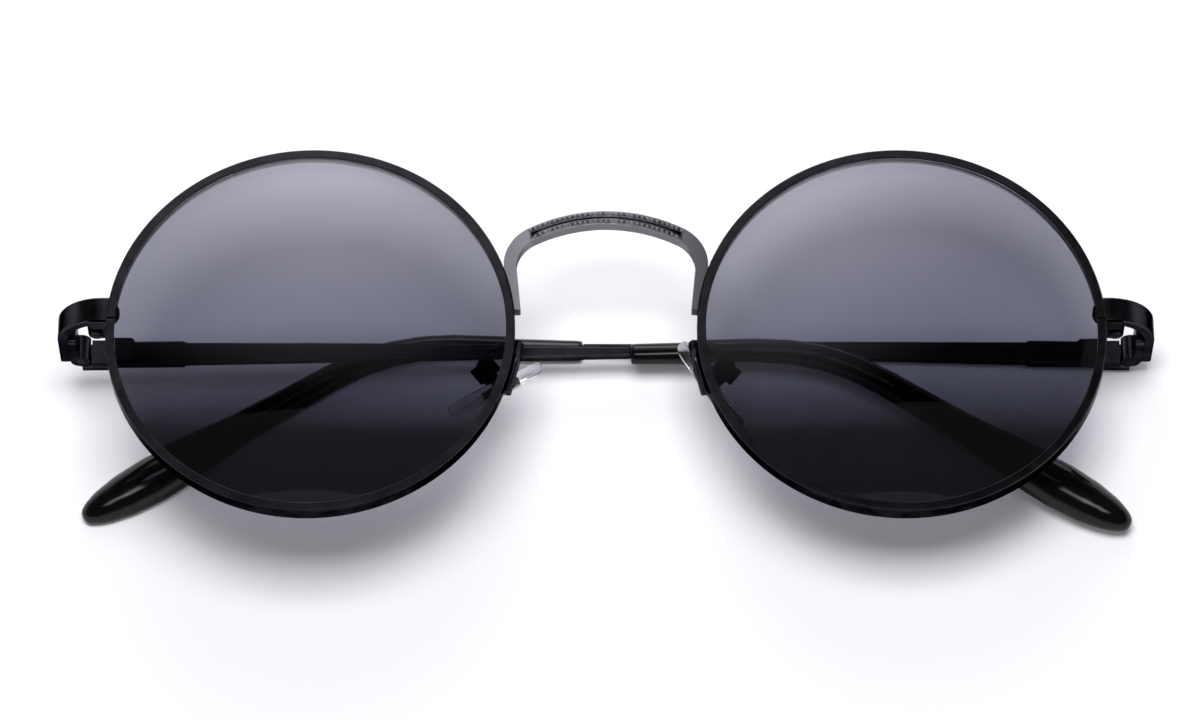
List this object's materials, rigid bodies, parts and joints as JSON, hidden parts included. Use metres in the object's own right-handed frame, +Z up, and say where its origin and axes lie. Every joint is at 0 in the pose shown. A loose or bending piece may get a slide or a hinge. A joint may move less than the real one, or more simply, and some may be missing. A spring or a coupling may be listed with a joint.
{
  "type": "sunglasses",
  "caption": "Round metal sunglasses with an arch bridge, gradient lenses and acetate temple tips, folded and lying face up on a flat surface.",
  "frame": {"origin": "on the supporting surface, under the centre of the bounding box of the folded glasses", "axes": "+X to the wearer's left (right in a view of the front), +Y to the brow, +Z up out of the fronts of the lenses"},
  "size_m": [0.129, 0.0478, 0.0197],
  "materials": {
    "black_metal": "satin black electroplate over nickel-silver wire",
    "gunmetal": "gunmetal plate, polished on the bead crowns",
    "lens_tint": "polished, grey gradient tint",
    "black_acetate": "tumbled and polished acetate",
    "clear_pad": "clear soft moulded pad",
    "pad_wire": "plated wire",
    "screw_steel": "turned and blackened screws"
  },
  "bodies": {
    "front": {"bridge": "gunmetal", "left_rim": "black_metal", "left_lens": "lens_tint", "left_end_piece": "black_metal", "left_rim_lock_upper": "black_metal", "left_rim_lock_lower": "black_metal", "left_rim_lock_screw": "screw_steel", "left_pad_arm": "pad_wire", "left_pad_box": "pad_wire", "left_pad_screw": "screw_steel", "left_hinge_front_leaf": "black_metal", "left_hinge_screw": "screw_steel", "right_rim": "black_metal", "right_lens": "lens_tint", "right_end_piece": "black_metal", "right_rim_lock_upper": "black_metal", "right_rim_lock_lower": "black_metal", "right_rim_lock_screw": "screw_steel", "right_pad_arm": "pad_wire", "right_pad_box": "pad_wire", "right_pad_screw": "screw_steel", "right_hinge_front_leaf": "black_metal", "right_hinge_screw": "screw_steel"},
    "temple_left": {"left_temple_bar": "black_metal", "left_temple_tip": "black_acetate", "left_hinge_temple_leaf": "black_metal"},
    "temple_right": {"right_temple_bar": "black_metal", "right_temple_tip": "black_acetate", "right_hinge_temple_leaf": "black_metal"},
    "nose_pad_left": {"left_nose_pad": "clear_pad", "left_pad_insert": "pad_wire"},
    "nose_pad_right": {"right_nose_pad": "clear_pad", "right_pad_insert": "pad_wire"}
  },
  "joints": [
    {"name": "left_temple_hinge", "type": "hinge", "parent": "front", "child": "temple_left", "pos_m": [0.06198, 0.0029, 0.00285], "axis": [0, -1, 0], "range_deg": [0, 89.5]},
    {"name": "right_temple_hinge", "type": "hinge", "parent": "front", "child": "temple_right", "pos_m": [-0.0622, 0.0029, 0.00827], "axis": [0, 1, 0], "range_deg": [0, 92.39]},
    {"name": "left_pad_rock", "type": "hinge", "parent": "front", "child": "nose_pad_left", "pos_m": [0.01396, -0.0027, 0.00915], "axis": [0.2242, 0.2649, -0.9379], "range_deg": [-31, 3]},
    {"name": "right_pad_rock", "type": "hinge", "parent": "front", "child": "nose_pad_right", "pos_m": [-0.01381, -0.0027, 0.01036], "axis": [-0.3051, 0.2649, -0.9147], "range_deg": [-31, 3]}
  ]
}
